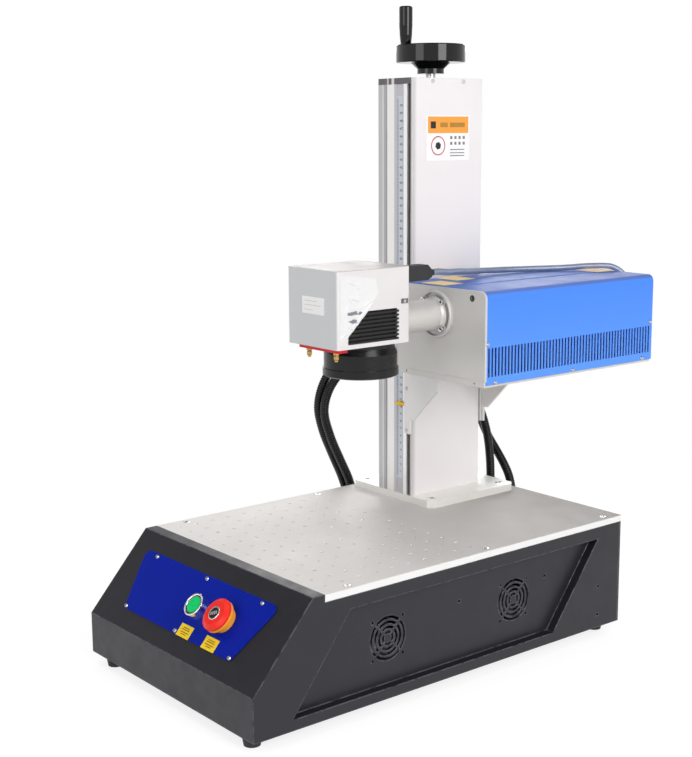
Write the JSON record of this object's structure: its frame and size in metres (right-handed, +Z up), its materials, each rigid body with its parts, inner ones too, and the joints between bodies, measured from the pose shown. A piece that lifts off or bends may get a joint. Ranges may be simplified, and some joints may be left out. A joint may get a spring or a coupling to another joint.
{
  "type": "laser marking machine",
  "caption": "Bench laser marker: low black cabinet with a perforated table, slotted column with a handwheel, and a blue laser housing with scan head and lens that slides up and down.",
  "frame": {"origin": "centre of the machine's outline on the floor, under the feet, measured without hoses and glands", "axes": "+Z up, +Y from the sloping control panel to the rear, +X to the side with the fan grilles"},
  "size_m": [0.393, 0.737, 0.8188],
  "materials": {
    "case_black": "fine satin powder coat",
    "table_aluminium": "bead blasted",
    "screw_steel": "satin",
    "dark_steel": "satin",
    "foot_rubber": "matt",
    "panel_blue": "satin",
    "label_film": "printed film",
    "chrome": "polished",
    "start_green": "gloss",
    "stop_yellow": "gloss",
    "stop_grey": "satin",
    "stop_red": "gloss",
    "fan_black": "satin",
    "supply_metal": "satin",
    "card_green": "satin",
    "inlet_black": "satin",
    "rocker_red": "gloss",
    "mast_aluminium": "satin anodised",
    "plate_aluminium": "satin anodised",
    "cover_aluminium": "fine bead blasted",
    "cap_grey": "satin anodised",
    "ruler_film": "printed",
    "wheel_black": "gloss",
    "bronze": "satin",
    "laser_silver": "satin anodised",
    "laser_blue": "satin",
    "module_black": "matt anodised",
    "head_silver": "satin anodised",
    "grille_black": "matt anodised",
    "clear_film": "clear, crinkled",
    "red_anodised": "anodised",
    "brass": "machined",
    "lens_black": "satin anodised",
    "lens_glass": "coated",
    "motor_grey": "satin",
    "mirror": "polished",
    "hood_black": "matt",
    "conduit_grey": "spiral wound",
    "paper": "matt",
    "pointer_yellow": "matt",
    "hose_black": "ribbed, satin"
  },
  "bodies": {
    "base": {"cabinet_shell": "case_black", "rear_panel": "case_black", "table_plate": "table_aluminium", "case_screws": "screw_steel", "feet": "foot_rubber", "control_panel": "panel_blue", "labels": "label_film", "start_bezel": "chrome", "estop_body": "stop_yellow", "fan_frames": "fan_black", "power_supplies": "supply_metal", "control_card": "card_green", "power_inlet": "inlet_black", "mast_foot": "plate_aluminium", "mast_screws": "dark_steel", "mast_profile": "mast_aluminium", "mast_cover": "cover_aluminium", "mast_cap": "cap_grey", "ruler": "ruler_film", "guide_rods": "screw_steel", "screw_bearings": "dark_steel", "hose_left_a": "hose_black", "hose_left_b": "hose_black", "hose_rear_a": "hose_black", "hose_rear_b": "hose_black", "glands_low": "hood_black"},
    "carriage": {"carriage_plate": "plate_aluminium", "lead_nut": "bronze", "gusset_front": "plate_aluminium", "gusset_rear": "plate_aluminium", "head_screws": "screw_steel", "laser_tray": "laser_silver", "laser_front": "laser_silver", "laser_cover": "laser_blue", "laser_module": "module_black", "beam_tube": "laser_silver", "galvo_housing": "head_silver", "galvo_grille": "grille_black", "side_film": "clear_film", "red_plate": "red_anodised", "brass_pointers": "brass", "lens_barrel": "lens_black", "lens_glass": "lens_glass", "scan_motors": "motor_grey", "connector_hood": "hood_black", "conduit": "conduit_grey", "head_labels": "paper", "pointer": "pointer_yellow", "glands_high": "hood_black"},
    "handwheel": {"handwheel": "wheel_black", "lead_screw": "screw_steel"},
    "grip": {"handwheel_grip": "wheel_black"},
    "start_button": {"start_cap": "start_green"},
    "stop_stem": {"estop_stem": "stop_grey"},
    "stop_head": {"estop_head": "stop_red"},
    "fan_front": {"fan_rotor_front": "fan_black"},
    "fan_rear": {"fan_rotor_rear": "fan_black"},
    "rocker": {"power_rocker": "rocker_red"},
    "scan_mirror_x": {"mirror_x": "mirror"},
    "scan_mirror_y": {"mirror_y": "mirror"}
  },
  "joints": [
    {"name": "handwheel_turn", "type": "hinge", "parent": "base", "child": "handwheel", "pos_m": [-0.0802, 0.1281, 0.7414], "axis": [0, 0, -1], "range_deg": [-5436, 14436]},
    {"name": "z_slide", "type": "slide", "parent": "base", "child": "carriage", "axis": [0, 0, 1], "range_m": [-0.075, 0.2], "deforming": ["hose_left_a", "hose_left_b", "hose_rear_a", "hose_rear_b"]},
    {"name": "grip_spin", "type": "hinge", "parent": "handwheel", "child": "grip", "pos_m": [-0.10228, 0.10358, 0.7738], "axis": [0, 0, 1], "continuous": true},
    {"name": "start_press", "type": "slide", "parent": "base", "child": "start_button", "axis": [0, 0.7536, -0.6574], "range_m": [0, 0.003], "stiffness_N_per_m": 400},
    {"name": "stop_press", "type": "slide", "parent": "base", "child": "stop_stem", "axis": [0, 0.7536, -0.6574], "range_m": [0, 0.004]},
    {"name": "stop_twist", "type": "hinge", "parent": "stop_stem", "child": "stop_head", "pos_m": [0.066, -0.32718, 0.12257], "axis": [0, -0.7536, 0.6574], "range_deg": [-45, 0], "stiffness_Nm_per_rad": 0.02},
    {"name": "fan_front_spin", "type": "hinge", "parent": "base", "child": "fan_front", "pos_m": [0.151, -0.1567, 0.0815], "axis": [1, 0, 0], "continuous": true},
    {"name": "fan_rear_spin", "type": "hinge", "parent": "base", "child": "fan_rear", "pos_m": [0.151, 0.0492, 0.0815], "axis": [1, 0, 0], "continuous": true},
    {"name": "power_switch", "type": "hinge", "parent": "base", "child": "rocker", "pos_m": [0.105, 0.2345, 0.089], "axis": [1, 0, 0], "range_deg": [-18, 0]},
    {"name": "scan_x", "type": "hinge", "parent": "carriage", "child": "scan_mirror_x", "pos_m": [0.0335, -0.0778, 0.4283], "axis": [0, 0, 1], "range_deg": [-12, 12], "stiffness_Nm_per_rad": 0.002},
    {"name": "scan_y", "type": "hinge", "parent": "carriage", "child": "scan_mirror_y", "pos_m": [0.0201, -0.0778, 0.4283], "axis": [0, 1, 0], "range_deg": [-12, 12], "stiffness_Nm_per_rad": 0.002}
  ],
  "couplings": [
    {"joint": "handwheel_turn", "follows": "z_slide", "rad_per_m": 1256.6}
  ]
}
